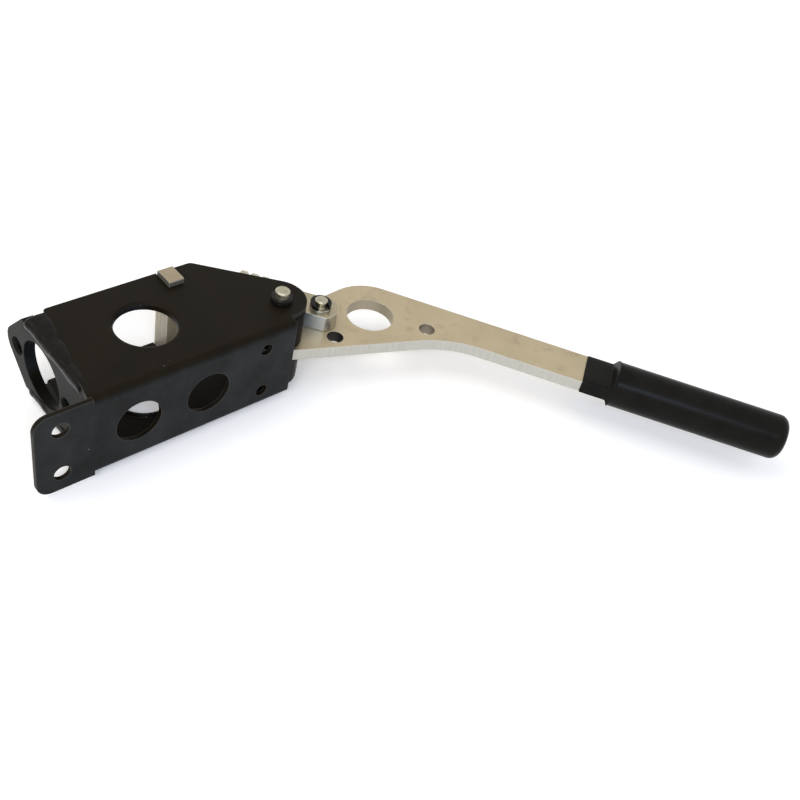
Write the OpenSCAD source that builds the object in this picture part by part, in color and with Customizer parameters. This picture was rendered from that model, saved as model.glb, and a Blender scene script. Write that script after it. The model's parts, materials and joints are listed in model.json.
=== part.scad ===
// Parking brake lever: folded bracket, swinging lever and push-rod eye.
// Millimetres. Origin at the middle of the base hole pattern on the outer face of the base,
// +X along the base towards the grip, +Y away from the base, +Z along the pivot.

/* [Bracket] */
// Width over the two cheeks
channel_w = 58; // [52:1:70]
// Sheet thickness
sheet_t = 3; // [2:0.5:4]
// Inside radius of the two folds
bend_r = 2; // [1:0.5:4]
// Height of the cheeks above the outer face of the base
cheek_h = 77; // [72:1:90]
// Radius of the cheeks' front end
cheek_end_r = 17.4; // [16:0.2:19]
// Middle of that radius above the pivot
cheek_end_lift = 3; // [2:0.5:4]
// Slope of the cheeks' edge above the pivot, degrees
cheek_slope = 45; // [40:1:50]
// Lean of the cheeks' rear edge over their height
cheek_lean = 14; // [10:1:18]
// Diameter of the large hole in each cheek
cheek_hole_d = 36; // [24:1:42]
// Position of the large cheek hole along the base
cheek_hole_x = 8; // [0:1:16]
// Height of the large cheek hole
cheek_hole_y = 40; // [36:1:44]
// Width of the raised rim round the large cheek hole
rim_w = 2.4; // [1.5:0.1:3]
// Height of the raised rim on the inner side
rim_h = 1.6; // [1:0.1:3]
// Rounding of the large cheek hole's outer edge
hole_edge_r = 2.2; // [1:0.1:2.6]

/* [Base] */
// Distance between the front and rear rows of base holes
base_pitch_x = 130; // [120:1:150]
// Distance between the two holes of a row
base_pitch_z = 33; // [28:1:38]
// Diameter of the front base holes
front_hole_d = 8; // [6:0.5:10]
// Diameter of the rear base holes
rear_hole_d = 10; // [8:0.5:12]
// Base in front of the front holes
front_margin = 21; // [18:1:23]
// Tab behind the rear holes
tab_margin = 15; // [12:1:20]
// Length of the flat tab behind the cheeks
tab_len = 31; // [26:1:36]
// Corner radius of the tab
tab_corner_r = 9; // [4:1:10]
// Diameter of the two lightening holes in the base
web_hole_d = 28; // [20:1:32]
// Distance between the lightening holes
web_hole_pitch = 45; // [40:1:52]
// Middle of the pair of lightening holes
web_hole_mid = 3.5; // [0:0.5:8]

/* [Cylinder plate] */
// Thickness of the plate
plate_t = 7; // [6:0.5:10]
// Plate behind the foot of the cheeks' rear edge
plate_set = 1.8; // [1:0.1:3]
// Height of the bore above the outer face of the base
bore_h = 57; // [54:0.5:60]
// Bore for the master cylinder
bore_d = 42; // [36:0.5:44]
// Distance between the two flange bolts
bolt_pitch = 57.15; // [54:0.05:62]
// Flange bolt holes
bolt_hole_d = 10.5; // [8:0.5:11]
// Chamfer of the flange bolt holes
bolt_chamfer = 1; // [0.5:0.1:1.5]
// Radius of the ear round the far bolt hole
ear_r = 12; // [9:0.5:13]
// Width of the weld bead ripples
weld_pitch = 3.6; // [3:0.1:5]
// Height of the weld beads
weld_h = 2.6; // [1.5:0.1:2.8]

/* [Stop bar] */
// Bar size along the base
bar_w = 10; // [8:0.5:12]
// Bar size away from the base
bar_h = 13.5; // [10:0.5:14]
// Middle of the bar along the base
bar_x = 42; // [38:0.5:44]
// Bar end proud of each cheek
bar_proud = 3.4; // [1:0.1:5]
// Bar below the cheeks' far edge
bar_inset = 1.5; // [0:0.5:3]

/* [Pivot] */
// Pivot in front of the front base holes
pivot_reach = 24; // [22:0.5:26]
// Height of the pivot above the outer face of the base
pivot_h = 21; // [20:0.5:24]
// Pivot pin diameter
pivot_d = 9; // [8:0.5:12]
// Pin end above the upper cheek
pivot_proud = 8.6; // [7:0.1:11]
// Outer radius of the distance tubes
spacer_r = 15.4; // [12:0.1:15.6]
// Wall of the lever's bush
bush_wall = 1.5; // [1:0.1:2]

/* [Lever] */
// Lever plate thickness
lever_t = 8; // [6:0.5:9]
// Lever underside, measured from the middle of the bracket
lever_z = -7; // [-9:0.5:-5]
// Hub radius of the lever
hub_r = 14; // [12:0.5:15]
// Large lever hole diameter
big_hole_d = 31; // [24:0.5:36]
// Large lever hole, in front of the pivot
big_hole_x = 66.5; // [62:0.5:70]
// Large lever hole, below the pivot
big_hole_y = 12.1; // [10:0.1:14]
// Width of the rim above the large hole
big_rim = 15; // [12:0.5:17]
// Small lever holes
small_hole_d = 10.5; // [6:0.5:12]
// Inner small hole, in front of the pivot and below it
inner_hole = [32.4, 18.2];
// Outer small hole, in front of the pivot and below it
outer_hole = [91.2, 41.1];
// Fall of the lever's lower edge, degrees
lower_fall = 22; // [20:0.5:24]
// Fall of the straight arm, degrees
arm_fall = 56.3; // [52:0.1:60]
// Width of the straight arm
arm_w = 27.4; // [24:0.2:30]
// Radius where the lower edge runs into the arm
elbow_r = 70; // [40:1:80]
// Arm from the foot of the pivot to the grip's neck
arm_len = 190.5; // [175:0.5:205]

/* [Grip] */
// Grip diameter
grip_d = 29.6; // [28:0.2:34]
// Length of the round grip
grip_len = 116; // [100:1:130]
// Length of the flat neck
neck_len = 19; // [14:1:24]
// Rubber over the bar at the neck
neck_wall = 1.2; // [0.8:0.1:2]
// Edge radius of the grip
grip_edge_r = 6; // [3:0.5:9]
// Width of the tang inside the grip
tang_w = 20; // [16:0.5:22]
// Length of the tang inside the grip
tang_len = 80; // [50:1:95]

/* [Push-rod eye] */
// Eye pin in front of the pivot
eye_pin_x = 32.7; // [32.5:0.1:34]
// Direction of the eye on the lever, degrees
eye_angle = 127; // [122:0.5:127]
// Eye width
eye_w = 19.6; // [16:0.2:19.8]
// Radius of the eye's end, cut off by its flat sides
eye_end_r = 11.6; // [10:0.1:12]
// Eye thickness
eye_t = 11; // [9:0.5:12]
// Eye length from the pin to the sleeve
eye_len = 36.5; // [34:0.5:38]
// Eye pin diameter
eye_pin_d = 8; // [7:0.5:10]
// Eye pin end above the eye
eye_pin_proud = 6; // [5:0.1:8]
// Sleeve length
sleeve_len = 18; // [16:0.5:20]
// Sleeve rib radius
sleeve_r = 12.8; // [11:0.1:13]
// Depth of the grooves between the ribs
sleeve_groove = 3; // [2:0.1:4]
// Threaded spigot of the eye
spigot_d = 8; // [6:0.5:9]
// Core of the push-rod thread
thread_core_d = 8.5; // [6.5:0.1:9]
// Depth of the push-rod thread
thread_len = 10.5; // [9:0.5:12]

/* [Clearances] */
// Radial play of a running fit
run_gap = 0.05; // [0.02:0.01:0.1]
// Gap between faces that slide
slide_gap = 0.3; // [0.2:0.05:0.5]
// Gap round parts let into a slot
slot_gap = 0.2; // [0.1:0.05:0.4]

/* [Hidden] */
$fa = 4;
$fs = 0.6;
half_w = channel_w / 2;
inner_w = half_w - sheet_t;
front_x = base_pitch_x / 2;
rear_x = -base_pitch_x / 2;
web_front = front_x + front_margin;
tab_end = rear_x - tab_margin;
cheek_back = tab_end + tab_len;
pivot = [front_x + pivot_reach, pivot_h];
cheek_end = pivot + [0, cheek_end_lift];
peak_x = cheek_end[0] + cheek_end_r / sin(cheek_slope) - (cheek_h - cheek_end[1]) / tan(cheek_slope);
plate_x = cheek_back + plate_set;
plate_side_h = bore_h + bore_d / 2;
ear_h = bore_h + bolt_pitch / 2;
bar_low = cheek_h - bar_inset - bar_h;
lever_top = lever_z + lever_t;
pin_r = pivot_d / 2;
eye_hub = pivot + [eye_pin_x, 0];
pivot_washer_t = 2.4;
pivot_clip_t = 1.2;
pivot_clip_z = half_w + pivot_washer_t + slot_gap;
eye_washer_t = 0.8;
eye_clip_t = 2.8;
clip_groove = 0.6;
head_t = 3;
arm_dir = [cos(arm_fall), -sin(arm_fall)];
arm_nor = [sin(arm_fall), cos(arm_fall)];
big_hole = [big_hole_x, -big_hole_y];
bulge_r = big_hole_d / 2 + big_rim;
arm_off = big_hole * arm_nor + bulge_r - arm_w / 2;
neck_end = arm_len + neck_len;
grip_z = lever_z + lever_t / 2;
plug_t = 4;
eye_z = lever_top + slide_gap;
eye_mid = eye_z + eye_t / 2;
eye_r = eye_pin_d / 2;
spigot_end = eye_len + sleeve_len - thread_len - 1;
eye_washer_z = eye_z + eye_t + slot_gap / 2;
eye_clip_z = eye_washer_z + eye_washer_t + slot_gap / 2;
blend = 0.01;

function unit(v) = v / norm(v);
function cut(p, u, q, v) = p + u * ((q - p)[0] * v[1] - (q - p)[1] * v[0]) / (u[0] * v[1] - u[1] * v[0]);

// Cutter that rounds the corner p, whose sides run along a and b, with radius r.
// The arc is larger by blend, so that it crosses both sides instead of only touching them.
module corner(p, a, b, r) {
    u = unit(a);
    v = unit(b);
    half = acos(u * v) / 2;
    difference() {
        polygon([p - unit(u + v), p + u * r / tan(half), p + v * r / tan(half)]);
        translate(p + unit(u + v) * r / sin(half)) circle(r + blend);
    }
}

// Solid of height h between z0 and z0 + h over a flat outline.
module slab(z0, h) {
    translate([0, 0, z0]) linear_extrude(h) children();
}

// Hole of diameter d along the pivot direction.
module bore_z(p, d, z0, h) {
    translate([p[0], p[1], z0]) cylinder(d = d, h = h);
}

// Hole of diameter d along Y.
module bore_y(x, z, d) {
    translate([x, -1, z]) rotate([-90, 0, 0]) cylinder(d = d, h = sheet_t + 2);
}

// Round body about the pivot direction from a list of [radius, z] points.
module turned(p, pts) {
    translate([p[0], p[1], 0]) rotate_extrude() polygon(pts);
}

// Pin through p with its head under z0, a groove for its clip and a chamfered end at z1.
module headed_pin(p, r, z0, clip_z, clip_h, z1) {
    color("#a8a08c") turned(p, [[0, z0 - head_t], [r + 2.2, z0 - head_t], [r + 3, z0 - head_t + 0.8],
        [r + 3, z0], [r, z0], [r, clip_z], [r - clip_groove, clip_z], [r - clip_groove, clip_z + clip_h],
        [r, clip_z + clip_h], [r, z1 - 0.8], [r - 0.8, z1], [0, z1]]);
}

// Washer of thickness h round a pin of diameter d.
module washer(p, d, d_out, z0, h) {
    difference() {
        bore_z(p, d_out, z0, h);
        bore_z(p, d + 2 * run_gap, z0 - 1, h + 2);
    }
}

// Spring clip in the groove of a pin of radius r: ring of width w, open towards turn over half-width gape.
module clip(p, z0, h, r, w, gape, turn) {
    r_in = r - clip_groove + run_gap;
    translate([p[0], p[1], z0]) rotate(turn) difference() {
        cylinder(r = r_in + w, h = h);
        translate([0, 0, -1]) cylinder(r = r_in, h = h + 2);
        translate([0, -gape, -1]) cube([r_in + w + 1, 2 * gape, h + 2]);
    }
}

module cheek_outline() {
    p_back = [cheek_back + cheek_lean, cheek_h];
    difference() {
        union() {
            polygon([[cheek_back, 0], [web_front, 0], cheek_end,
                cheek_end + cheek_end_r * [sin(cheek_slope), cos(cheek_slope)],
                [peak_x, cheek_h], p_back]);
            translate(cheek_end) circle(cheek_end_r);
        }
        corner(p_back, [-cheek_lean, -cheek_h], [1, 0], 2.5);
        corner([peak_x, cheek_h], [-1, 0], [cos(cheek_slope), -sin(cheek_slope)], 4);
    }
}

// Section of the folded channel, drawn as [height, width].
module channel_section() {
    r_out = bend_r + sheet_t;
    reach = cheek_h + 1;
    difference() {
        translate([0, -half_w]) square([reach, channel_w]);
        for (s = [-1, 1]) corner([0, s * half_w], [1, 0], [0, -s], r_out);
        difference() {
            translate([sheet_t, -inner_w]) square([reach, 2 * inner_w]);
            for (s = [-1, 1]) corner([sheet_t, s * inner_w], [1, 0], [0, -s], bend_r);
        }
    }
}

module tab_outline() {
    difference() {
        translate([tab_end, -half_w]) square([tab_len + sheet_t, channel_w]);
        for (s = [-1, 1]) corner([tab_end, s * half_w], [1, 0], [0, -s], tab_corner_r);
    }
}

// Raised rim on the inner side of the large cheek hole, turned about the hole.
module cheek_rim() {
    r_in = cheek_hole_d / 2;
    translate([cheek_hole_x, cheek_hole_y, inner_w]) rotate_extrude()
        polygon([[r_in, -rim_h], [r_in + rim_w / 2, -rim_h], [r_in + rim_w, 0],
            [r_in + rim_w, 0.5], [r_in, 0.5]]);
}

// Cutter that rounds the outer edge of the large cheek hole.
module cheek_hole_edge() {
    translate([cheek_hole_x, cheek_hole_y, half_w]) rotate_extrude()
        corner([cheek_hole_d / 2, 0], [1, 0], [0, -1], hole_edge_r);
}

// Folded sheet: section along X kept inside the cheek outline, tab, rims, holes and slots.
module bracket_channel() {
    color("#23211f") difference() {
        union() {
            intersection() {
                translate([tab_end, 0, 0]) rotate([90, 0, 90])
                    linear_extrude(pivot[0] + cheek_end_r + 1 - tab_end) channel_section();
                slab(-half_w - 1, channel_w + 2) cheek_outline();
            }
            translate([0, sheet_t, 0]) rotate([90, 0, 0]) linear_extrude(sheet_t) tab_outline();
            cheek_rim();
            mirror([0, 0, 1]) cheek_rim();
        }
        translate([web_front, -1, -inner_w]) cube([cheek_end_r * 2, sheet_t + bend_r + 1, 2 * inner_w]);
        bore_z([cheek_hole_x, cheek_hole_y], cheek_hole_d, -half_w - 1, channel_w + 2);
        cheek_hole_edge();
        mirror([0, 0, 1]) cheek_hole_edge();
        bore_z(pivot, pivot_d + 2 * run_gap, -half_w - 1, channel_w + 2);
        for (s = [-1, 1]) {
            bore_y(front_x, s * base_pitch_z / 2, front_hole_d);
            bore_y(rear_x, s * base_pitch_z / 2, rear_hole_d);
            bore_y(web_hole_mid + s * web_hole_pitch / 2, 0, web_hole_d);
        }
        translate([bar_x - bar_w / 2, bar_low, -half_w - 1]) cube([bar_w, cheek_h, channel_w + 2]);
    }
}

// Plate outline drawn as [height, width]: straight sides, tapers to the ear.
module plate_outline() {
    taper = acos(ear_r / norm([ear_h - plate_side_h, inner_w]))
        + atan2(inner_w, ear_h - plate_side_h) - 90;
    ear_t = [ear_h + ear_r * sin(taper), ear_r * cos(taper)];
    difference() {
        union() {
            polygon([[sheet_t, -inner_w], [plate_side_h, -inner_w], [ear_t[0], -ear_t[1]],
                [ear_t[0], ear_t[1]], [plate_side_h, inner_w], [sheet_t, inner_w]]);
            translate([ear_h, 0]) circle(ear_r);
        }
        for (s = [-1, 1]) corner([sheet_t, s * inner_w], [1, 0], [0, -s], bend_r + slot_gap);
    }
}

module cylinder_plate() {
    color("#4a443d") difference() {
        translate([plate_x, 0, 0]) rotate([90, 0, 90]) linear_extrude(plate_t) plate_outline();
        translate([plate_x - 1, bore_h, 0]) rotate([0, 90, 0]) cylinder(d = bore_d, h = plate_t + 2);
        for (s = [-1, 1]) translate([plate_x, bore_h + s * bolt_pitch / 2, 0]) rotate([0, 90, 0]) {
            translate([0, 0, -1]) cylinder(d = bolt_hole_d, h = plate_t + 2);
            translate([0, 0, -1]) cylinder(d1 = bolt_hole_d + 2 * bolt_chamfer + 2,
                d2 = bolt_hole_d - 2, h = bolt_chamfer + 2);
        }
    }
}

// Bead in the wedge between the plate's outer face and the leaning cheek edge, rippled across.
module side_weld() {
    y0 = cheek_h * 0.16;
    run = cheek_h - 3 - y0;
    count = floor(run / weld_pitch);
    lean = cheek_lean / cheek_h;
    intersection() {
        slab(inner_w, sheet_t + 2) polygon([[plate_x, y0], [cheek_back + lean * y0, y0],
            [cheek_back + lean * (y0 + run), y0 + run], [plate_x, y0 + run]]);
        for (i = [0:count]) translate([plate_x - 1, y0 + (i + 0.3) * weld_pitch, inner_w])
            rotate([0, 90, 0]) cylinder(r = weld_h, h = cheek_lean + 2);
    }
}

module upper_weld() {
    color("#2b2826") side_weld();
}

module lower_weld() {
    color("#2b2826") mirror([0, 0, 1]) side_weld();
}

// Bead along the foot of the plate, on the tab's side.
module base_weld() {
    run = inner_w * 1.5;
    count = floor(run / weld_pitch);
    color("#2b2826") intersection() {
        translate([plate_x - 5, sheet_t, -half_w]) cube([5, 5, channel_w]);
        for (i = [0:count]) translate([plate_x, sheet_t, (i - count / 2) * weld_pitch])
            sphere(weld_h * 1.3);
    }
}

module stop_bar() {
    reach = half_w + bar_proud;
    e = 0.8;
    color("#a5967d") translate([bar_x, bar_low, 0]) difference() {
        translate([-bar_w / 2, 0, -reach]) cube([bar_w, bar_h, 2 * reach]);
        for (s = [-1, 1]) for (t = [0, 1]) translate([0, t * bar_h, s * reach])
            rotate([45, 0, 0]) cube([bar_w + 2, e, e], center = true);
    }
}

module pivot_pin() {
    headed_pin(pivot, pin_r, -half_w, pivot_clip_z, pivot_clip_t, half_w + pivot_proud);
}

module pivot_washer() {
    color("#1c1b1a") washer(pivot, pivot_d, pivot_d + 4, half_w, pivot_washer_t);
}

module pivot_clip() {
    color("#1c1b1a") clip(pivot, pivot_clip_z, pivot_clip_t, pin_r, 2.5, pin_r * 0.55, 40);
}

// Distance tube round the pivot pin from z0 to z1.
module spacer(z0, z1) {
    e = 0.8;
    r_in = pin_r + run_gap;
    color("#1f1d1c") turned(pivot, [[r_in, z0], [spacer_r - e, z0], [spacer_r, z0 + e],
        [spacer_r, z1 - e], [spacer_r - e, z1], [r_in, z1]]);
}

module upper_spacer() {
    spacer(lever_top + slide_gap, inner_w);
}

module lower_spacer() {
    spacer(-inner_w, lever_z - slide_gap);
}

module lever_bush() {
    color("#b08d57") difference() {
        bore_z(pivot, pivot_d + 2 * bush_wall, lever_z, lever_t);
        bore_z(pivot, pivot_d + 2 * run_gap, lever_z - 1, lever_t + 2);
    }
}

// Lever plate round the pivot: straight edges, rounded at the hub, over the large hole and in the elbow.
module lever_outline() {
    rise = asin((bulge_r - hub_r) / norm(big_hole)) + atan2(big_hole[1], big_hole[0]);
    top_dir = [cos(rise), sin(rise)];
    top_nor = [-sin(rise), cos(rise)];
    low_dir = [cos(lower_fall), -sin(lower_fall)];
    low_nor = [-sin(lower_fall), -cos(lower_fall)];
    side = arm_nor * arm_w / 2;
    tang = arm_nor * tang_w / 2;
    arm_foot = arm_nor * arm_off;
    arm_end = arm_foot + arm_dir * (arm_len + neck_len / 2);
    tang_end = arm_foot + arm_dir * (neck_end + tang_len);
    heel = cut(top_nor * hub_r, top_dir, low_nor * hub_r, low_dir);
    shoulder = cut(heel, top_dir, arm_foot + side, arm_dir);
    elbow = cut(heel, low_dir, arm_foot - side, arm_dir);
    turn = elbow_r * tan((arm_fall - lower_fall) / 2);
    difference() {
        polygon([heel, elbow - low_dir * turn, elbow + arm_dir * turn, arm_end - side, arm_end - tang,
            tang_end - tang, tang_end + tang, arm_end + tang, arm_end + side, shoulder]);
        corner(heel, top_dir, low_dir, hub_r);
        corner(shoulder, -top_dir, arm_dir, bulge_r);
        translate(elbow - low_dir * turn + low_nor * elbow_r) circle(elbow_r + blend);
    }
}

module lever_arm() {
    color("#c4b79c") translate(pivot) difference() {
        slab(lever_z, lever_t) lever_outline();
        bore_z([0, 0], pivot_d + 2 * bush_wall, lever_z - 1, lever_t + 2);
        bore_z(big_hole, big_hole_d, lever_z - 1, lever_t + 2);
        for (p = [inner_hole, outer_hole]) bore_z([p[0], -p[1]], small_hole_d, lever_z - 1, lever_t + 2);
        bore_z([eye_pin_x, 0], eye_pin_d + 2 * run_gap, lever_z - 1, lever_t + 2);
    }
}

module eye_pin() {
    headed_pin(eye_hub, eye_r, lever_z, eye_clip_z, eye_clip_t, eye_z + eye_t + eye_pin_proud);
}

module eye_washer() {
    color("#c9c9c4") washer(eye_hub, eye_pin_d, eye_pin_d + 5, eye_washer_z, eye_washer_t);
}

module eye_clip() {
    color("#1c1b1a") clip(eye_hub, eye_clip_z, eye_clip_t, eye_r, 3.3, eye_r * 0.9, 252);
}

// Places drawn-along-X children on the arm's axis at distance a from the pivot's foot.
module on_arm(a) {
    translate([pivot[0], pivot[1], grip_z]) rotate(-arm_fall) translate([a, arm_off, 0]) children();
}

// Grip: round body with rounded shoulders turned about the arm axis, flat neck, pocket for the bar.
module hand_grip() {
    r = grip_d / 2;
    e = grip_edge_r;
    color("#1b1a19") difference() {
        union() {
            on_arm(neck_end) rotate([0, 90, 0]) rotate_extrude() difference() {
                square([r, grip_len]);
                corner([r, 0], [-1, 0], [0, 1], 1.5);
                corner([r, grip_len], [-1, 0], [0, -1], e);
            }
            on_arm(arm_len) translate([0, -arm_w / 2 - neck_wall, -lever_t / 2 - neck_wall])
                cube([neck_len + 3, arm_w + 2 * neck_wall, lever_t + 2 * neck_wall]);
        }
        translate(pivot) slab(lever_z, lever_t) lever_outline();
        on_arm(neck_end + grip_len - plug_t) rotate([0, 90, 0]) cylinder(r = r * 0.45, h = plug_t + 1);
    }
}

module grip_plug() {
    color("#1b1a19") on_arm(neck_end + grip_len - plug_t) rotate([0, 90, 0])
        cylinder(r = grip_d * 0.225, h = plug_t);
}

// Places children drawn along X on the axis of the eye, at the eye pin.
module on_eye(z) {
    translate([eye_hub[0], eye_hub[1], z]) rotate(eye_angle) children();
}

module rod_eye() {
    color("#cfcfca") difference() {
        union() {
            on_eye(eye_z) intersection() {
                cylinder(r = eye_end_r, h = eye_t);
                translate([-eye_end_r, -eye_w / 2, 0]) cube([eye_end_r + eye_len, eye_w, eye_t]);
            }
            on_eye(eye_z) translate([0, -eye_w / 2, 0]) cube([eye_len, eye_w, eye_t]);
            on_eye(eye_mid) rotate([0, 90, 0]) cylinder(d = spigot_d, h = spigot_end);
        }
        on_eye(eye_z - 1) cylinder(d = eye_pin_d + 2 * run_gap, h = eye_t + 2);
    }
}

// Ribbed sleeve: three ribs and two grooves, socket for the eye's spigot, thread core at the far end.
module rod_adjuster() {
    g = sleeve_groove;
    w = sleeve_len / 5;
    color("#b9b6aa") on_eye(eye_mid) translate([eye_len, 0, 0]) rotate([0, 90, 0]) difference() {
        rotate_extrude() polygon([[0, 0], [sleeve_r - 0.6, 0], [sleeve_r, 0.6], [sleeve_r, w],
            [sleeve_r - g, w * 1.2], [sleeve_r - g, w * 1.8], [sleeve_r, w * 2], [sleeve_r, w * 3],
            [sleeve_r - g, w * 3.2], [sleeve_r - g, w * 3.8], [sleeve_r, w * 4],
            [sleeve_r, sleeve_len - 0.6], [sleeve_r - 0.6, sleeve_len], [0, sleeve_len]]);
        translate([0, 0, -1]) cylinder(d = spigot_d, h = sleeve_len - thread_len);
        translate([0, 0, sleeve_len - thread_len]) cylinder(d = thread_core_d, h = thread_len + 1);
    }
}

bracket_channel();
cylinder_plate();
upper_weld();
lower_weld();
base_weld();
stop_bar();
pivot_pin();
pivot_washer();
pivot_clip();
upper_spacer();
lower_spacer();
lever_bush();
lever_arm();
eye_pin();
eye_washer();
eye_clip();
hand_grip();
grip_plug();
rod_eye();
rod_adjuster();
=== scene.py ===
import json
import math

import bpy
import numpy as np
from bpy.props import FloatProperty, IntProperty, PointerProperty, StringProperty
from bpy.types import NodeSocket, Operator, Panel, PropertyGroup
from mathutils import Matrix, Vector


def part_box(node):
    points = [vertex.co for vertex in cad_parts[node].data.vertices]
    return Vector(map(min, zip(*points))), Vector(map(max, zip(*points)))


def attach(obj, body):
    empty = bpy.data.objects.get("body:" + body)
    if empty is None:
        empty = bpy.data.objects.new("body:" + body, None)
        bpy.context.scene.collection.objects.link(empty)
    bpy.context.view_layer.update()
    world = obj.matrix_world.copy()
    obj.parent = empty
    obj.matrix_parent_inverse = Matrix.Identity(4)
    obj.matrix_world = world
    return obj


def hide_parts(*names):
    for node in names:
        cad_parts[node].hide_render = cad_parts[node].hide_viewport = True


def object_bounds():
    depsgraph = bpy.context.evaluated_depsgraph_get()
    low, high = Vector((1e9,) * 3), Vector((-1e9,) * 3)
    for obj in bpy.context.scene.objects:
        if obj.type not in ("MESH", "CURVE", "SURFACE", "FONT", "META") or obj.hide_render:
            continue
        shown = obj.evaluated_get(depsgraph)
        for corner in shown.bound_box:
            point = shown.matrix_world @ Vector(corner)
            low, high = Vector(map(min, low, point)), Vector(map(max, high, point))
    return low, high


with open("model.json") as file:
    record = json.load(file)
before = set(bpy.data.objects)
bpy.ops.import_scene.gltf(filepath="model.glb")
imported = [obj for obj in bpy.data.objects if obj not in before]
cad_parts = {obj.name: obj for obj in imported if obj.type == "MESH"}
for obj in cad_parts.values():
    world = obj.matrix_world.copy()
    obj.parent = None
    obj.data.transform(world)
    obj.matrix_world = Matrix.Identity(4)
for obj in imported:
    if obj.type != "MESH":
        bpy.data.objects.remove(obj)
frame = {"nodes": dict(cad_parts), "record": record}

bl_info = {
    "name": "Parking brake lever looks",
    "version": (1, 0, 0),
    "blender": (4, 5, 0),
    "location": "View3D > Sidebar > Brake lever",
    "description": "Finishes, weld beads and grip for a folded parking brake lever",
    "category": "Object",
}

CAD_BOX = [list(corner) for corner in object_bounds()]
MM = 0.001

# Bodies that the new pieces ride on.
BRACKET, LEVER = "bracket", "lever"
# Angle by which the straight arm and its grip fall below +X, as in the part's source.
ARM_FALL = math.radians(56.3)
# Powers of the grip's rings: the neck's is nearly a rectangle, and 2 is a circle.
NECK_POWER, ROUND_POWER = 7, 2
# Share of the shoulder that lies on the neck's own length.
SHOULDER_LEAD = 0.4
# Points across a bead, and the power that keeps it even until close to its ends.
BEAD_COLUMNS, END_POWER = 30, 20
# Shares of a bead's height in its long lumps, its short lumps and the blob where it was ended.
LONG_LUMPS, SHORT_LUMPS, BLOB = 0.05, 0.03, 0.25

# x, y and reach of the lever's holes in millimetres, where the hole walls get their own colour: painted shade
# in the two small holes. The reach takes in the wall of the hole.
EYE_HOLE, ARM_HOLE, LARGE_HOLE = (121.4, 2.8, 5.3), (180.2, -20.1, 5.3), (155.5, 8.9, 15.55)
# Height in millimetres past which the stop bar stands out of the cheeks.
BAR_END = 27.6
# Width in millimetres over which one colour gives way to another at a hole and at the bar's ends.
HOLE_BLUR, BAR_BLUR = 0.15, 0.3

# Colours that finishes of one kind share.
# Painted reflection: the coat's cooler, paler tones on faces towards -Y stand for the white floor's
# reflection, mottled by dust.
OUTER_SHEEN, OUTER_SHEEN_AND_DUST = "151616", "272a2c"
# The first tone below is the coat's paler edge: painted highlight along rounded edges that also stands for
# rubbed wear.
LIT_AND_WORN_EDGE, BARE_SPECK = "5e5d59", "a39d92"
# The two pale edge tones after the oil stain are painted highlights along the edges of bare and plated metal.
OIL_STAIN, EDGE_HIGHLIGHT, PLATED_HIGHLIGHT = "8a7a5f", "e6e2d8", "f2f0e8"

# Settings that several nodes share, and the sockets of a Mix node that takes colours.
COLOR_MIX = {"data_type": "RGBA"}
TIMES, DOT, ABSOLUTE = ({"operation": name} for name in ("MULTIPLY", "DOT_PRODUCT", "ABSOLUTE"))
ROUNDED = {"samples": 6}
FACTOR, FIRST, SECOND, MIXED = 0, 6, 7, 2

# The photograph's camera in the part's frame: its place in millimetres, its right and its view.
CAMERA_PLACE = (-235.8, -349.1, 423.6)
CAMERA_RIGHT = (0.743, -0.6417, 0.1903)
CAMERA_AHEAD = (0.5722, 0.4614, -0.6781)
SENSOR_WIDTH = 36.0
# The point in metres that the lamps look at.
LAMP_AIM = (0.1, -0.03, 0)


def metres(value):
    """A length in millimetres as metres."""
    return value * MM


def length(name, description, millimetres):
    """A property that holds one length."""
    return FloatProperty(name=name, description=description, default=metres(millimetres), unit="LENGTH")


def hue(name, description, code):
    """A property that holds one sRGB hex colour."""
    return StringProperty(name=name, description=description, default=code)


def watts(name, description, power):
    """A property that holds a lamp's power."""
    return FloatProperty(name=name, description=description, default=power, unit="POWER")


class FinishColors(PropertyGroup):
    """Darkest and palest tone of each finish, as sRGB hex colours."""

    coat_dark: hue("Coat, dark", "Bracket's coat where it is clean", "130f07")
    coat_pale: hue("Coat, pale", "Bracket's coat where it is dusty", "19140b")
    plate_dark: hue("Plate, dark", "Cylinder plate's coat where it is clean", "0e0d0a")
    plate_pale: hue("Plate, pale", "Cylinder plate's coat where it is dusty", "15140f")
    weld_dark: hue("Weld, dark", "Coat on the welds where it is clean", "100d0a")
    weld_pale: hue("Weld, pale", "Coat on the welds where it is dusty", "171410")
    bar_dark: hue("Stop bar, dark", "Darker clouds on the stop bar's ends", "8a7c64")
    bar_pale: hue("Stop bar, pale", "Paler clouds on the stop bar's ends", "a89a7e")
    lever_dark: hue("Lever, dark", "Darker clouds on the lever's faces", "ab9c7e")
    lever_pale: hue("Lever, pale", "Paler clouds on the lever's faces", "bfb092")
    pin_dark: hue("Pins, dark", "Darker clouds on the pins", "99937e")
    pin_pale: hue("Pins, pale", "Paler clouds on the pins", "bcb6a0")
    eye_dark: hue("Eye, dark", "Darker clouds on the push-rod eye", "978d74")
    eye_pale: hue("Eye, pale", "Paler clouds on the push-rod eye", "b8ae92")
    sleeve_dark: hue("Sleeve, dark", "Darker clouds on the ribbed sleeve", "a39b84")
    sleeve_pale: hue("Sleeve, pale", "Paler clouds on the ribbed sleeve", "c4bda6")
    bush_dark: hue("Bush, dark", "Darker clouds on the lever's bush", "94713f")
    bush_pale: hue("Bush, pale", "Paler clouds on the lever's bush", "b8935a")
    clip_dark: hue("Clips, dark", "Clips and washer where they are clean", "0a0909")
    clip_pale: hue("Clips, pale", "Clips and washer where they are handled", "131211")
    spacer_dark: hue("Spacers, dark", "Distance tubes where they are clean", "0a0907")
    spacer_pale: hue("Spacers, pale", "Distance tubes where they are handled", "120f0c")
    grip_dark: hue("Grip, dark", "Hand grip where it is clean", "11100e")
    grip_pale: hue("Grip, pale", "Hand grip where it is handled", "191815")


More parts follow.
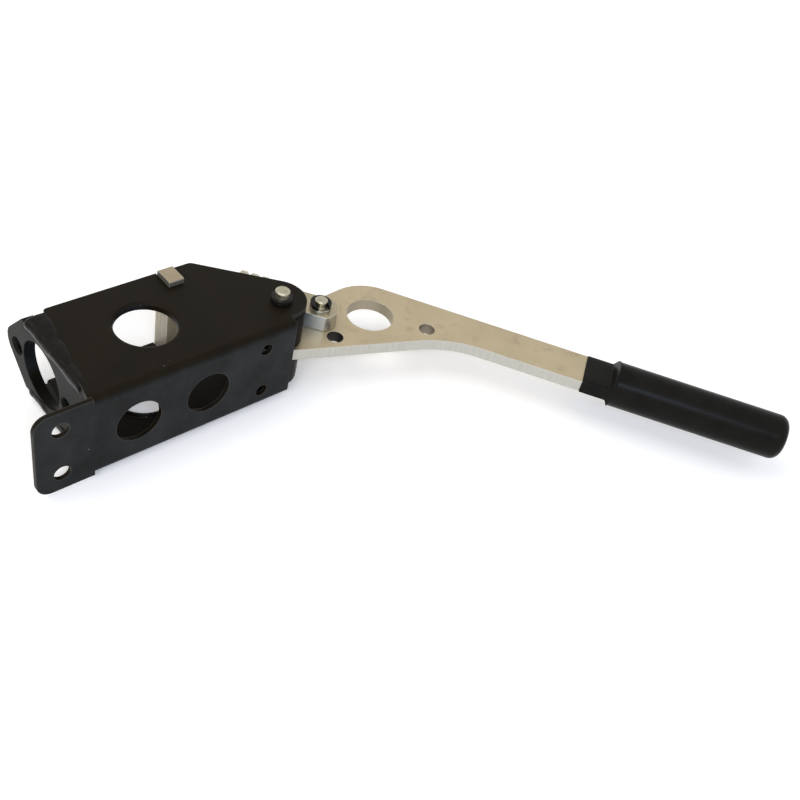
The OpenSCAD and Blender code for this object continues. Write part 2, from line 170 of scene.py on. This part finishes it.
class GripSizes(PropertyGroup):
    """Sizes of the push-on hand grip."""

    neck_rows: IntProperty(
        name="Neck rows", description="Rings along the neck and the shoulder", default=60, min=10)
    rows: IntProperty(name="Rows", description="Rings along the round grip", default=170, min=20)
    turns: IntProperty(name="Points round", description="Points in each ring", default=96, min=16)
    neck: length("Neck", "Length of the flat neck", 19)
    neck_half: length("Neck half height", "Half the height of the flat neck, along the pivot", 5.2)
    neck_edge: length("Neck edge", "Rounding of the neck's open end", 0.8)
    shoulder: length("Shoulder", "Length over which the flat neck swells to the round grip", 4.5)
    edge: length("End radius", "Rounding of the closed end", 6.5)


class WeldSizes(PropertyGroup):
    """Sizes of the weld beads."""

    rows: IntProperty(name="Cheek rows", description="Sections along a cheek's bead", default=150, min=20)
    base_rows: IntProperty(name="Base rows", description="Sections along the base's bead", default=90, min=20)
    pitch: length("Ripple pitch", "Distance between two ripples", 4.2)
    ripple: length("Ripple height", "Height of a ripple", 0.03)
    lump: length("Lump length", "Length of bead that the lumps' pitch is counted in", 30)
    blob: length("Blob length", "Length of the thick lump where a bead was ended", 5)
    toe_wander: length("Toe wander", "How far a bead's toe strays from its line", 0.4)
    heel_wander: length("Heel wander", "How far a bead's heel strays from its line", 0.35)
    lap: length("Lap", "Bead that lies on the outside of a cheek", 1.2)
    wrap: length("Wrap", "Bead that lies on the plate's outer face", 3.6)
    narrow: length("Narrow end", "Width of a cheek's bead where it starts", 2.6)
    overhang: length("Overhang", "How far a cheek bead's knee stands before the plate", 3.4)
    crown: length("Crown", "How far a cheek bead's knee stands above the plate's edge", 5.2)
    bulge: length("Base bulge", "How far the base bead's knee stands out, along X and along Y", 1.2)
    plate_depth: length("Plate depth", "Depth of a cheek bead's underside in the plate's face", 0.3)
    edge_depth: length("Edge depth", "Depth of a cheek bead's underside in the plate's edge", 0.1)
    base_depth: length("Base depth", "Depth of the base bead's underside in base and plate", 0.2)


class StageSizes(PropertyGroup):
    """Camera, floor and light."""

    focal: FloatProperty(name="Focal length", description="Lens for a 36 mm wide sensor", default=46.75)
    floor_size: FloatProperty(name="Floor", description="Width of the floor", default=6.0, unit="LENGTH")
    floor_color: hue("Floor colour", "sRGB hex colour of the floor", "ffffff")
    key_power: watts("Key light", "Power of the soft key lamp", 7.2)
    fill_power: watts("Fill light", "Power of the soft fill lamp", 1.2)
    side_power: watts("Side light", "Power of the lamp beyond the cylinder plate", 4.4)
    window_power: watts("Window light", "Power of the small cool lamp at the side", 2.8)
    sky: FloatProperty(name="Sky", description="Strength of the even surrounding light", default=0.62)
    lift: FloatProperty(name="Floor lift", description="Glow of the floor near the part", default=0.16)
    far_lift: FloatProperty(name="Far lift", description="Glow of the floor far from the part", default=0.6)
    lift_from: FloatProperty(
        name="Lift from", description="Distance at which the glow starts to grow", default=0.6, unit="LENGTH")
    lift_to: FloatProperty(
        name="Lift to", description="Distance at which the glow is full", default=1.6, unit="LENGTH")


def linear(code):
    """An sRGB hex colour as linear RGBA."""
    rgb = np.array([int(code[i:i + 2], 16) for i in (0, 2, 4)]) / 255
    low = rgb / 12.92
    high = ((rgb + 0.055) / 1.055) ** 2.4
    return (*np.where(rgb <= 0.04045, low, high).tolist(), 1.0)


def fill(tree, made, inputs):
    """Fills a node's sockets, given by name or number, or else in order: an output is linked, a hex colour is
    turned to linear, and any other value is set as it is."""
    for name, value in inputs.items() if isinstance(inputs, dict) else enumerate(inputs):
        if isinstance(value, NodeSocket):
            tree.links.new(value, made.inputs[name])
        else:
            made.inputs[name].default_value = linear(value) if isinstance(value, str) else value


def node(tree, kind, inputs=(), settings=None, out=0):
    """Adds a node with its settings and sockets, and returns one of its outputs. The setting stops holds the
    places and hex colours of a colour ramp."""
    made = tree.nodes.new("ShaderNode" + kind)
    for name, value in (settings or {}).items():
        if name == "stops":
            for item, (place, code) in zip(made.color_ramp.elements, value):
                item.position, item.color = place, linear(code)
        else:
            setattr(made, name, value)
    fill(tree, made, inputs)
    return made.outputs[out]


def surface(name):
    """A new material with its tree and shader, and the piece's own coordinates and normal."""
    mat = bpy.data.materials.new(name)
    mat.use_nodes = True
    tree = mat.node_tree
    coords = node(tree, "TexCoord", out="Object")
    return mat, tree, tree.nodes["Principled BSDF"], coords, coords.node.outputs["Normal"]


def grit(coords, size_mm, detail, rough):
    """Sockets of a noise with features about size_mm wide: its scale is one over that width in metres."""
    return {"Vector": coords, "Scale": 1.0 / metres(size_mm), "Detail": detail, "Roughness": rough}


def edge_mask(tree, radius_mm):
    """The normal of edges rounded by radius_mm, and a mask that is 1 on edges and 0 on flats: how far that
    normal leaves the true one."""
    soft = node(tree, "Bevel", {"Radius": metres(radius_mm)}, ROUNDED)
    true = node(tree, "NewGeometry", out="Normal")
    level = node(tree, "VectorMath", (soft, true), DOT, "Value")
    return soft, node(tree, "MapRange", (level, 0.995, 0.86, 0.0, 1.0))


def near(tree, coords, x, y, reach):
    """1 within reach of a line along Z through x and y, all in millimetres, and 0 elsewhere."""
    level = node(tree, "VectorMath", (coords, (1, 1, 0)), TIMES)
    centre = (metres(x), metres(y), 0)
    away = node(tree, "VectorMath", (level, centre), {"operation": "DISTANCE"}, "Value")
    return node(tree, "MapRange", (away, metres(reach), metres(reach + HOLE_BLUR), 1.0, 0.0))


def powder_coat(name, dark, pale, rough, gloss, chips, edge_light_and_wear):
    """Powder coat on steel: fine orange peel, dusty patches and a few bare specks. Faces towards -Y, which
    lie at the outside of the base, get a cooler, paler tone mottled by the dust: a painted reflection of the
    floor.
    Edges are painted a little paler: a painted highlight that also stands for rubbed wear. chips is the
    strength of the specks and edge_light_and_wear that of the paler edges."""
    mat, tree, shader, coords, normal = surface(name)
    peel = node(tree, "TexNoise", grit(coords, 1.1, 2.0, 0.55))
    dust = node(tree, "TexNoise", grit(coords, 26, 4.0, 0.6))
    chip = node(tree, "TexNoise", grit(coords, 2.4, 2.0, 0.5))
    soft, edge = edge_mask(tree, 0.9)
    body = node(tree, "ValToRGB", (dust,), {"stops": ((0.3, dark), (0.75, pale))})
    # Painted reflection of the floor: faces towards -Y get a cooler, paler tone, mottled by the dust noise.
    dusty = node(tree, "ValToRGB", (dust,), {"stops": ((0.36, OUTER_SHEEN), (0.66, OUTER_SHEEN_AND_DUST))})
    lies = node(tree, "SeparateXYZ", (normal,), out="Y")
    outer = node(tree, "MapRange", (lies, -0.75, -0.95, 0.0, 0.8))
    body = node(tree, "Mix", {FACTOR: outer, FIRST: body, SECOND: dusty}, COLOR_MIX, MIXED)
    # Paler edges: painted highlight along the rounded edges that also stands for rubbed wear.
    rim = node(tree, "Math", (edge, edge_light_and_wear), TIMES)
    body = node(tree, "Mix", {FACTOR: rim, FIRST: body, SECOND: LIT_AND_WORN_EDGE}, COLOR_MIX, MIXED)
    specks = node(tree, "MapRange", (chip, 0.765, 0.79, 0.0, chips))
    body = node(tree, "Mix", {FACTOR: specks, FIRST: body, SECOND: BARE_SPECK}, COLOR_MIX, MIXED)
    relief = {"Strength": 0.25, "Distance": metres(0.06), "Height": peel, "Normal": soft}
    fill(tree, shader, {
        "Base Color": body,
        "Roughness": node(tree, "MapRange", (dust, 0.3, 0.8, *rough)),
        "Specular IOR Level": gloss,
        "Normal": node(tree, "Bump", relief),
    })
    return mat


def sheet_metal(name, dark, pale, cut, rough, metallic=0.7, shine=0.35, lit_side=None, ends=None, holes=()):
    """Rolled or ground metal: cloudy, lightly stained faces along +-Z, and paler sawn sides with lines across
    the sheet, in the two colours of cut. lit_side gives a direction and the two colours of the side facing
    it:
    painted light for the light or cool reflection that this side catches. ends gives the height in
    millimetres past which the sides have another colour, and holes the place and reach of each hole with the
    colour of its wall, painted shade on the lever's small holes. shine paints a highlight along the edges."""
    mat, tree, shader, coords, normal = surface(name)
    cloud = node(tree, "TexNoise", grit(coords, 30, 4.0, 0.6))
    fine = node(tree, "TexNoise", grit(coords, 0.7, 3.0, 0.6))
    blots = node(tree, "TexNoise", grit(coords, 16, 5.0, 0.65))
    drawn = node(tree, "Mapping", {"Vector": coords, "Scale": (1, 1, 0.08)})
    lines = node(tree, "TexNoise", grit(drawn, 1.6, 2.0, 0.5))
    soft, edge = edge_mask(tree, 0.5)
    lies = node(tree, "Math", (node(tree, "SeparateXYZ", (normal,), out="Z"),), ABSOLUTE)
    flat = node(tree, "MapRange", (lies, 0.5, 0.85, 0.0, 1.0))
    grain = node(tree, "MapRange", (fine, 0.0, 1.0, 0.0, 0.4))
    shade = node(tree, "Math", (cloud, 0.6, grain), {"operation": "MULTIPLY_ADD"})
    faces = node(tree, "ValToRGB", (shade,), {"stops": ((0.3, dark), (0.7, pale))})
    stain = node(tree, "MapRange", (blots, 0.56, 0.72, 0.0, 0.45))
    faces = node(tree, "Mix", {FACTOR: stain, FIRST: faces, SECOND: OIL_STAIN}, COLOR_MIX, MIXED)
    sides = node(tree, "ValToRGB", (lines,), {"stops": ((0.3, cut[0]), (0.7, cut[1]))})
    # One side gets its own tone: painted light, for the light or the cool reflection that this side catches.
    if lit_side:
        towards, colors = lit_side
        level = node(tree, "VectorMath", (normal, towards), DOT, "Value")
        on_it = node(tree, "MapRange", (level, 0.93, 0.98, 0.0, 1.0))
        smooth = node(tree, "ValToRGB", (cloud,), {"stops": ((0.35, colors[0]), (0.65, colors[1]))})
        sides = node(tree, "Mix", {FACTOR: on_it, FIRST: sides, SECOND: smooth}, COLOR_MIX, MIXED)
    if ends:
        top, color = ends
        height = node(tree, "Math", (node(tree, "SeparateXYZ", (coords,), out="Z"),), ABSOLUTE)
        past = node(tree, "MapRange", (height, metres(top), metres(top + BAR_BLUR), 0.0, 1.0))
        sides = node(tree, "Mix", {FACTOR: past, FIRST: sides, SECOND: color}, COLOR_MIX, MIXED)
    body = node(tree, "Mix", {FACTOR: flat, FIRST: sides, SECOND: faces}, COLOR_MIX, MIXED)
    # Each hole's wall gets its own colour, used on the lever as painted shade in the small holes.
    for place, color in holes:
        wall = near(tree, coords, *place)
        body = node(tree, "Mix", {FACTOR: wall, FIRST: body, SECOND: color}, COLOR_MIX, MIXED)
    # Edges mixed towards a pale tone: painted highlight along the edges.
    bright = node(tree, "Math", (edge, shine), TIMES)
    body = node(tree, "Mix", {FACTOR: bright, FIRST: body, SECOND: EDGE_HIGHLIGHT}, COLOR_MIX, MIXED)
    marks = node(tree, "Mix", {FACTOR: flat, FIRST: lines, SECOND: fine}, COLOR_MIX, MIXED)
    relief = {"Strength": 0.08, "Distance": metres(0.03), "Height": marks, "Normal": soft}
    fill(tree, shader, {
        "Base Color": body,
        "Metallic": metallic,
        "Roughness": node(tree, "MapRange", (shade, 0.2, 0.8, *rough)),
        "Normal": node(tree, "Bump", relief),
    })
    return mat


def turned_metal(name, dark, pale, rough, metallic=0.85, ring_mm=0.5, ring_depth=0.03):
    """Turned metal: fine clouds, and turned rings round the axis along Z, ring_mm wide and ring_depth
    millimetres deep."""
    mat, tree, shader, coords, _ = surface(name)
    cloud = node(tree, "TexNoise", grit(coords, 5, 4.0, 0.6))
    wound = node(tree, "Mapping", {"Vector": coords, "Scale": (0.04, 0.04, 1)})
    rings = node(tree, "TexNoise", grit(wound, ring_mm, 2.0, 0.5))
    soft, edge = edge_mask(tree, 0.4)
    body = node(tree, "ValToRGB", (cloud,), {"stops": ((0.3, dark), (0.7, pale))})
    # Edges mixed towards a pale tone: painted highlight along the edges.
    bright = node(tree, "Math", (edge, 0.4), TIMES)
    body = node(tree, "Mix", {FACTOR: bright, FIRST: body, SECOND: PLATED_HIGHLIGHT}, COLOR_MIX, MIXED)
    relief = {"Strength": 0.5, "Distance": metres(ring_depth), "Height": rings, "Normal": soft}
    fill(tree, shader, {
        "Base Color": body,
        "Metallic": metallic,
        "Roughness": node(tree, "MapRange", (cloud, 0.2, 0.8, *rough)),
        "Normal": node(tree, "Bump", relief),
    })
    return mat


def smooth_black(name, dark, pale, rough, grain_mm, gloss):
    """Black plastic, rubber or oxide: fine matt grain with faint handling marks."""
    mat, tree, shader, coords, _ = surface(name)
    grain = node(tree, "TexNoise", grit(coords, grain_mm, 2.0, 0.55))
    marks = node(tree, "TexNoise", grit(coords, 14, 4.0, 0.6))
    soft = node(tree, "Bevel", {"Radius": metres(0.6)}, ROUNDED)
    relief = {"Strength": 0.2, "Distance": metres(0.05), "Height": grain, "Normal": soft}
    fill(tree, shader, {
        "Base Color": node(tree, "ValToRGB", (marks,), {"stops": ((0.3, dark), (0.75, pale))}),
        "Roughness": node(tree, "MapRange", (marks, 0.25, 0.8, *rough)),
        "Specular IOR Level": gloss,
        "Normal": node(tree, "Bump", relief),
    })
    return mat


def finishes(colors):
    """Every material of the part, by the record's slot."""
    return {
        # Baked powder on folded sheet: satin black with a faint, broad sheen, greyer along the edges, where a
        # painted highlight also stands for rubbed wear.
        "black_coat": powder_coat(
            "satin_powder_coat", colors.coat_dark, colors.coat_pale,
            rough=(0.36, 0.48), gloss=0.07, chips=0.8, edge_light_and_wear=0.55),
        # The same powder on a plate shaped by milling: deeper black, with hardly any sheen.
        "plate_coat": powder_coat(
            "gloss_coat_on_plate", colors.plate_dark, colors.plate_pale,
            rough=(0.26, 0.4), gloss=0.03, chips=0.6, edge_light_and_wear=0.35),
        # Powder that ran smooth over the weld metal: tight highlights on each lump.
        "weld": powder_coat(
            "gloss_coat_on_weld", colors.weld_dark, colors.weld_pale,
            rough=(0.22, 0.34), gloss=0.09, chips=0.3, edge_light_and_wear=0.2),
        # Cold drawn steel, dulled in use: warm grey and nearly matt, dark round its ends, and pale beige on
        # its inner face towards -Y, painted light for the light that falls on that face.
        "bare_steel": sheet_metal(
            "bare_drawn_steel", colors.bar_dark, colors.bar_pale, cut=("a8a08c", "bdb5a0"),
            rough=(0.34, 0.48), metallic=0.25,
            lit_side=((0, -1, 0), ("e0d0ac", "eee0be")), ends=(BAR_END, "66645c")),
        # Ground steel plate with a little oil on it: warm, cloudy faces and pale sawn sides.
        "lever_steel": sheet_metal(
            "ground_lever_plate", colors.lever_dark, colors.lever_pale, cut=("b4b2a8", "bdbbb2"),
            rough=(0.38, 0.52),
            # The walls of the two small holes are painted shade, darkest in the eye's hole; the large hole's
            # wall is a darker brown.
            holes=((EYE_HOLE, "2a2622"), (ARM_HOLE, "8c8272"), (LARGE_HOLE, "a69c87"))),
        # Turned steel, zinc plated and passivated: yellowish silver, with ridges that catch the light.
        # The ridges are drawn coarser than a tool leaves them, so that they show.
        "zinc_pin": turned_metal(
            "zinc_passivated_pin", colors.pin_dark, colors.pin_pale,
            rough=(0.24, 0.36), metallic=0.9, ring_mm=0.9, ring_depth=0.2),
        # Zinc on flat steel: clear reflections, a painted highlight along the edges, and one flat side
        # painted a cool blue-grey, a painted reflection of cool light.
        "bright_zinc": sheet_metal(
            "zinc_eye_plate", colors.eye_dark, colors.eye_pale, cut=("a8a495", "bfbbad"),
            rough=(0.26, 0.38), metallic=0.85, shine=0.8,
            lit_side=((-0.8, -0.6, 0), ("a6b3c4", "c3cfdc"))),
        # Zinc on a turned sleeve: soft silver that brightens along each rib.
        "zinc_sleeve": turned_metal(
            "zinc_turned_sleeve", colors.sleeve_dark, colors.sleeve_pale, rough=(0.3, 0.44)),
        # Plain bearing bronze: satin brown gold.
        "bush_bronze": turned_metal("bearing_bronze", colors.bush_dark, colors.bush_pale, rough=(0.3, 0.45)),
        # Black oxide on spring steel: deep black with a small, sharp glint.
        "black_clip": smooth_black(
            "black_oxide", colors.clip_dark, colors.clip_pale, rough=(0.2, 0.32), grain_mm=0.5, gloss=0.2),
        # Turned plastic tube: deep black, with hardly any sheen.
        "spacer_black": smooth_black(
            "turned_black_plastic", colors.spacer_dark, colors.spacer_pale,
            rough=(0.3, 0.42), grain_mm=0.6, gloss=0.05),
        # Dipped or moulded soft plastic: black, with one long, weak highlight.
        "grip_black": smooth_black(
            "soft_black_grip", colors.grip_dark, colors.grip_pale,
            rough=(0.27, 0.35), grain_mm=0.5, gloss=0.065),
    }


FINISH = {}


def grid_mesh(name, points, body, slot_name, replaced):
    """A mesh from a rows x columns grid of points: each row closes into a ring, and the first and the last
    ring get flat caps. The rings are turned round where the volume inside them, summed over the quads, comes
    out negative, so that the faces point outwards."""
    inner = points - points.mean(axis=(0, 1))
    beside = np.roll(inner, -1, axis=1)
    volume = (inner[:-1] * (np.cross(beside[:-1], beside[1:]) + np.cross(beside[1:], inner[1:]))).sum()
    if volume < 0:
        points = points[:, ::-1]
    rows, cols = points.shape[:2]
    index = np.arange(rows * cols).reshape(rows, cols)
    right = np.roll(index, -1, axis=1)
    quads = np.stack([index[:-1], right[:-1], right[1:], index[1:]], axis=-1).reshape(-1, 4)
    caps = [index[0, ::-1].tolist(), index[-1].tolist()]
    mesh = bpy.data.meshes.new(name)
    mesh.from_pydata(points.reshape(-1, 3).tolist(), [], quads.tolist() + caps)
    mesh.polygons.foreach_set("use_smooth", np.ones(len(mesh.polygons), bool))
    mesh.update()
    piece = bpy.data.objects.new(name, mesh)
    bpy.context.scene.collection.objects.link(piece)
    mesh.materials.append(FINISH[slot_name])
    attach(piece, body)
    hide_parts(*replaced)


def line(x, y, z):
    """Rows of points from their x, y and z, each of which is one number or a column of them."""
    return np.hstack(np.broadcast_arrays(x, y, z))


def unit(rows):
    """Rows of vectors, each divided by its own length."""
    return rows / np.linalg.norm(rows, axis=1, keepdims=True)


def lumps(t, seed):
    """Slow, uneven swelling along a hand-laid bead, about -1 to 1: the sum of three sines, each quicker and
    lower than the one before."""
    sines = np.sin(6.7 * t + seed) + 0.35 * np.sin(15.1 * t + 2 * seed) + 0.06 * np.sin(41.3 * t + 3 * seed)
    return sines / 1.3


def bead(toe, knee, heel, under, sizes, seed):
    """Weld bead along rows of points: each section is a quadratic curve from toe to heel, drawn out by knee.
    It swells unevenly and carries shallow half-moon ripples, since each ripple lags with the square of the
    place across the bead. Toe and heel stray a little along the line between them. The bead starts from the
    straight line and ends in a full blob; under closes the section inside the metal."""
    whole = np.linalg.norm(toe[-1] - toe[0])
    t = np.linspace(0, 1, len(toe))[:, None]
    u = np.linspace(0, 1, BEAD_COLUMNS)[None, :]
    c = 2 * u - 1
    end = np.sqrt(1 - np.where(t < 0.5, 1.0, 0.5) * np.abs(2 * t - 1) ** END_POWER)
    phase = np.pi * (t * whole / sizes.pitch - 0.5 * c ** 2)
    run = t * whole / sizes.lump
    blob = BLOB * np.exp(-((1 - t) * whole / sizes.blob) ** 2)
    swell = LONG_LUMPS * lumps(run, seed) + SHORT_LUMPS * lumps(1.6 * run + 0.2 * u, seed + 2.1) + blob
    toe = toe + sizes.toe_wander * lumps(run, seed + 0.9) * unit(heel - toe)
    heel = heel + sizes.heel_wander * lumps(1.3 * run, seed + 4) * unit(heel - toe)
    pull = (end * (1 + swell) * 2 * u * (1 - u))[..., None]
    chord = toe[:, None] * (1 - u[..., None]) + heel[:, None] * u[..., None]
    reach = knee - (toe + heel) / 2
    wave = sizes.ripple * (np.abs(np.sin(phase)) - 0.6) * (1 - c ** 4) * end
    top = chord + pull * reach[:, None] + wave[..., None] * unit(reach)[:, None]
    back = under[1][:, None] * (1 - u[..., None]) + under[0][:, None] * u[..., None]
    return np.concatenate([top, back], axis=1)


class BRAKE_OT_finishes(Operator):
    """Gives every solid of the part its finish."""

    bl_idname = "brake.finishes"
    bl_label = "Finishes"

    def execute(self, context):
        FINISH.update(finishes(context.scene.brake_colors))
        for row in frame["record"]["subparts"]:
            part = frame["nodes"][row["node"]]
            part.data.materials.clear()
            part.data.materials.append(FINISH[row["material_slot"]])
        return {"FINISHED"}


class BRAKE_OT_grip(Operator):
    """Push-on grip: a flat neck that swells to a round body with a rounded closed end."""

    bl_idname = "brake.grip"
    bl_label = "Hand grip"

    def execute(self, context):
        """Rings of superellipses along the arm: their power and half height go from the neck's to the round
        body's by a smooth step over the shoulder, and quarter circles round off both ends."""
        sizes = context.scene.brake_grip
        low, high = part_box("hand_grip")
        radius = (high.z - low.z) / 2
        axis = np.array([math.cos(ARM_FALL), -math.sin(ARM_FALL), 0.0])
        across = np.array([math.sin(ARM_FALL), math.cos(ARM_FALL), 0.0])
        vertices = frame["nodes"]["hand_grip"].data.vertices
        corners = np.empty(3 * len(vertices), np.float32)
        vertices.foreach_get("co", corners)
        corners = corners.astype(float).reshape(-1, 3)
        along, side = corners @ axis, corners @ across
        start, whole = along.min(), along.max() - along.min()
        middle = (side.min() + side.max()) / 2
        neck = sizes.neck + sizes.shoulder
        t = np.concatenate([np.linspace(0, neck, sizes.neck_rows), np.linspace(neck, whole, sizes.rows)[1:]])
        swell = np.clip((t - sizes.neck + sizes.shoulder * SHOULDER_LEAD) / sizes.shoulder, 0, 1)
        swell = (swell * swell * (3 - 2 * swell))[:, None]
        from_end = np.clip(sizes.edge - (whole - t), 0, sizes.edge)
        shrink = (sizes.edge - np.sqrt(sizes.edge ** 2 - from_end ** 2))[:, None]
        from_neck = np.clip(sizes.neck_edge - t, 0, sizes.neck_edge)
        ease = (sizes.neck_edge - np.sqrt(sizes.neck_edge ** 2 - from_neck ** 2))[:, None]
        turn = np.linspace(0, 2 * np.pi, sizes.turns, endpoint=False)[None, :]
        power = NECK_POWER + (ROUND_POWER - NECK_POWER) * swell
        c, s = np.cos(turn), np.sin(turn)
        wide = np.sign(c) * np.abs(c) ** (2 / power)
        tall = np.sign(s) * np.abs(s) ** (2 / power)
        half_wide = radius - shrink - ease
        half_tall = sizes.neck_half + (radius - sizes.neck_half) * swell - shrink - ease
        centre = axis * (start + t)[:, None] + across * middle
        centre[:, 2] = (low.z + high.z) / 2
        points = centre[:, None, :] + (half_wide * wide)[..., None] * across
        points = points + (half_tall * tall)[..., None] * np.array([0, 0, 1.0])
        grid_mesh("grip_skin", points, LEVER, "grip_black", ("hand_grip", "grip_plug"))
        return {"FINISHED"}


class BRAKE_OT_welds(Operator):
    """Weld beads that hold the cylinder plate to both cheeks and to the base."""

    bl_idname = "brake.welds"
    bl_label = "Weld beads"

    def execute(self, context):
        """Each cheek's bead runs up the plate's edge and widens with the cheek's lean. The base's bead fills
        the corner between plate and base."""
        sizes = context.scene.brake_welds
        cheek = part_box("bracket_channel")[1].z
        rows = np.linspace(0, 1, sizes.rows)[:, None]
        for name, sign in (("upper_weld", 1), ("lower_weld", -1)):
            low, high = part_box(name)
            wall = low.z if sign > 0 else -high.z
            y = low.y + (high.y - low.y) * rows
            outer = low.x + sizes.narrow + (high.x - low.x - sizes.narrow) * rows + sizes.lap
            toe = line(low.x, y, sign * (wall - sizes.wrap))
            knee = line(low.x - sizes.overhang, y, sign * (wall + sizes.crown))
            heel = line(outer, y, sign * cheek)
            under = (line(low.x + sizes.plate_depth, y, sign * (wall - sizes.wrap)),
                     line(outer, y, sign * (wall - sizes.edge_depth)))
            points = bead(toe, knee, heel, under, sizes, seed=0.4 + sign)
            grid_mesh(name.replace("_weld", "_bead"), points, BRACKET, "weld", (name,))
        low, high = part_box("base_weld")
        z = low.z + (high.z - low.z) * np.linspace(0, 1, sizes.base_rows)[:, None]
        toe, heel = line(low.x, low.y, z), line(high.x, high.y, z)
        knee = (toe + heel) / 2 + np.array([-sizes.bulge, sizes.bulge, 0])
        deep = sizes.base_depth
        under = line(high.x - deep, low.y - deep, z), line(high.x + deep, low.y + deep, z)
        points = bead(toe, knee, heel, under, sizes, seed=2.2)
        grid_mesh("base_bead", points, BRACKET, "weld", ("base_weld",))
        return {"FINISHED"}


class BRAKE_OT_stage(Operator):
    """Pale floor, soft light and the camera."""

    bl_idname = "brake.stage"
    bl_label = "Stage"

    def execute(self, context):
        sizes = context.scene.brake_stage
        scene = context.scene
        ground = CAD_BOX[0][2]
        half = sizes.floor_size / 2
        mesh = bpy.data.meshes.new("floor")
        corners = [(x * half, y * half, ground) for x, y in ((-1, -1), (1, -1), (1, 1), (-1, 1))]
        mesh.from_pydata(corners, [], [(0, 1, 2, 3)])
        floor = bpy.data.objects.new("floor", mesh)
        scene.collection.objects.link(floor)
        mesh.materials.append(self.floor_finish(sizes))
        # Place and width of each lamp are in metres.
        for name, place, power, width, tint in (
                ("key", (-0.5, 0.35, 1.3), sizes.key_power, 1.1, "fff7ea"),
                ("fill", (0.7, -0.9, 0.9), sizes.fill_power, 1.2, "dfeeff"),
                ("side", (-0.85, -0.5, 0.75), sizes.side_power, 0.3, "f2f2f6"),
                ("window", (-0.35, -0.75, 0.8), sizes.window_power, 0.2, "c8dcff")):
            self.lamp(scene, name, place, power, width, tint)
        self.sky(scene, sizes)
        self.camera(scene, sizes)
        scene.view_settings.view_transform = "Standard"
        return {"FINISHED"}

    def floor_finish(self, sizes):
        """Matt pale floor, white where the camera or a mirror sees it unshaded. Its glow grows with the
        distance from the part, since the lamps light only the middle of the floor."""
        mat, tree, shader, coords, _ = surface("pale_floor")
        away = node(tree, "VectorMath", (coords,), {"operation": "LENGTH"}, "Value")
        glow = node(tree, "MapRange", (away, sizes.lift_from, sizes.lift_to, sizes.lift, sizes.far_lift))
        fill(tree, shader, {
            "Base Color": sizes.floor_color,
            "Roughness": 0.9,
            "Emission Color": sizes.floor_color,
            "Emission Strength": node(tree, "Math", (self.seen(tree), glow), TIMES),
        })
        return mat

    def seen(self, tree):
        """1 on rays that come from the camera, a mirror or glass, and 0 on those that light the part."""
        ray = node(tree, "LightPath", out="Is Camera Ray")
        path = ray.node
        for other in ("Is Glossy Ray", "Is Transmission Ray"):
            ray = node(tree, "Math", (ray, path.outputs[other]), {"operation": "MAXIMUM"})
        return ray

    def lamp(self, scene, name, place, power, width, tint):
        """A square area lamp that looks at the part's middle."""
        data = bpy.data.lights.new(name, "AREA")
        data.color = linear(tint)[:3]
        data.energy = power
        data.size = width
        lamp = bpy.data.objects.new(name, data)
        scene.collection.objects.link(lamp)
        lamp.location = place
        aim = Vector(LAMP_AIM) - Vector(place)
        lamp.rotation_euler = aim.to_track_quat("-Z", "Y").to_euler()

    def sky(self, scene, sizes):
        """Even light all round; plain white where the camera, a mirror or glass sees it."""
        world = bpy.data.worlds.new("sky")
        world.use_nodes = True
        scene.world = world
        tree = world.node_tree
        strength = node(tree, "MapRange", (self.seen(tree), 0, 1, sizes.sky, 1.0))
        fill(tree, tree.nodes["Background"], {"Color": (1, 1, 1, 1), "Strength": strength})

    def camera(self, scene, sizes):
        """The photograph's camera: its up is square to its right and its view, and its right to those two."""
        camera = bpy.data.objects.new("camera", bpy.data.cameras.new("camera"))
        scene.collection.objects.link(camera)
        camera.data.lens = sizes.focal
        camera.data.sensor_width = SENSOR_WIDTH
        ahead = Vector(CAMERA_AHEAD).normalized()
        up = Vector(CAMERA_RIGHT).normalized().cross(ahead).normalized()
        turn = Matrix((ahead.cross(up), up, -ahead)).transposed().to_4x4()
        camera.matrix_world = Matrix.Translation(Vector(CAMERA_PLACE) * MM) @ turn
        scene.camera = camera


class BRAKE_PT_panel(Panel):
    """Lists the steps that dress the part."""

    bl_idname = "BRAKE_PT_panel"
    bl_label = "Brake lever"
    bl_space_type = "VIEW_3D"
    bl_region_type = "UI"
    bl_category = "Brake lever"

    def draw(self, context):
        for step in STEPS:
            self.layout.operator(step.bl_idname)


STEPS = (BRAKE_OT_finishes, BRAKE_OT_grip, BRAKE_OT_welds, BRAKE_OT_stage)
GROUPS = {
    "brake_colors": FinishColors,
    "brake_grip": GripSizes,
    "brake_welds": WeldSizes,
    "brake_stage": StageSizes,
}


def register():
    """Registers the groups, their places on the scene, the steps and the panel."""
    for group in GROUPS.values():
        bpy.utils.register_class(group)
    for name, group in GROUPS.items():
        setattr(bpy.types.Scene, name, PointerProperty(type=group))
    for made in (*STEPS, BRAKE_PT_panel):
        bpy.utils.register_class(made)


def unregister():
    """Takes back what register added, in the opposite order."""
    for made in (BRAKE_PT_panel, *reversed(STEPS)):
        bpy.utils.unregister_class(made)
    for name, group in GROUPS.items():
        delattr(bpy.types.Scene, name)
        bpy.utils.unregister_class(group)


def main():
    """Registers the add-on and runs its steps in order."""
    register()
    bpy.ops.brake.finishes()
    bpy.ops.brake.grip()
    bpy.ops.brake.welds()
    bpy.ops.brake.stage()


if __name__ == "__main__":
    main()
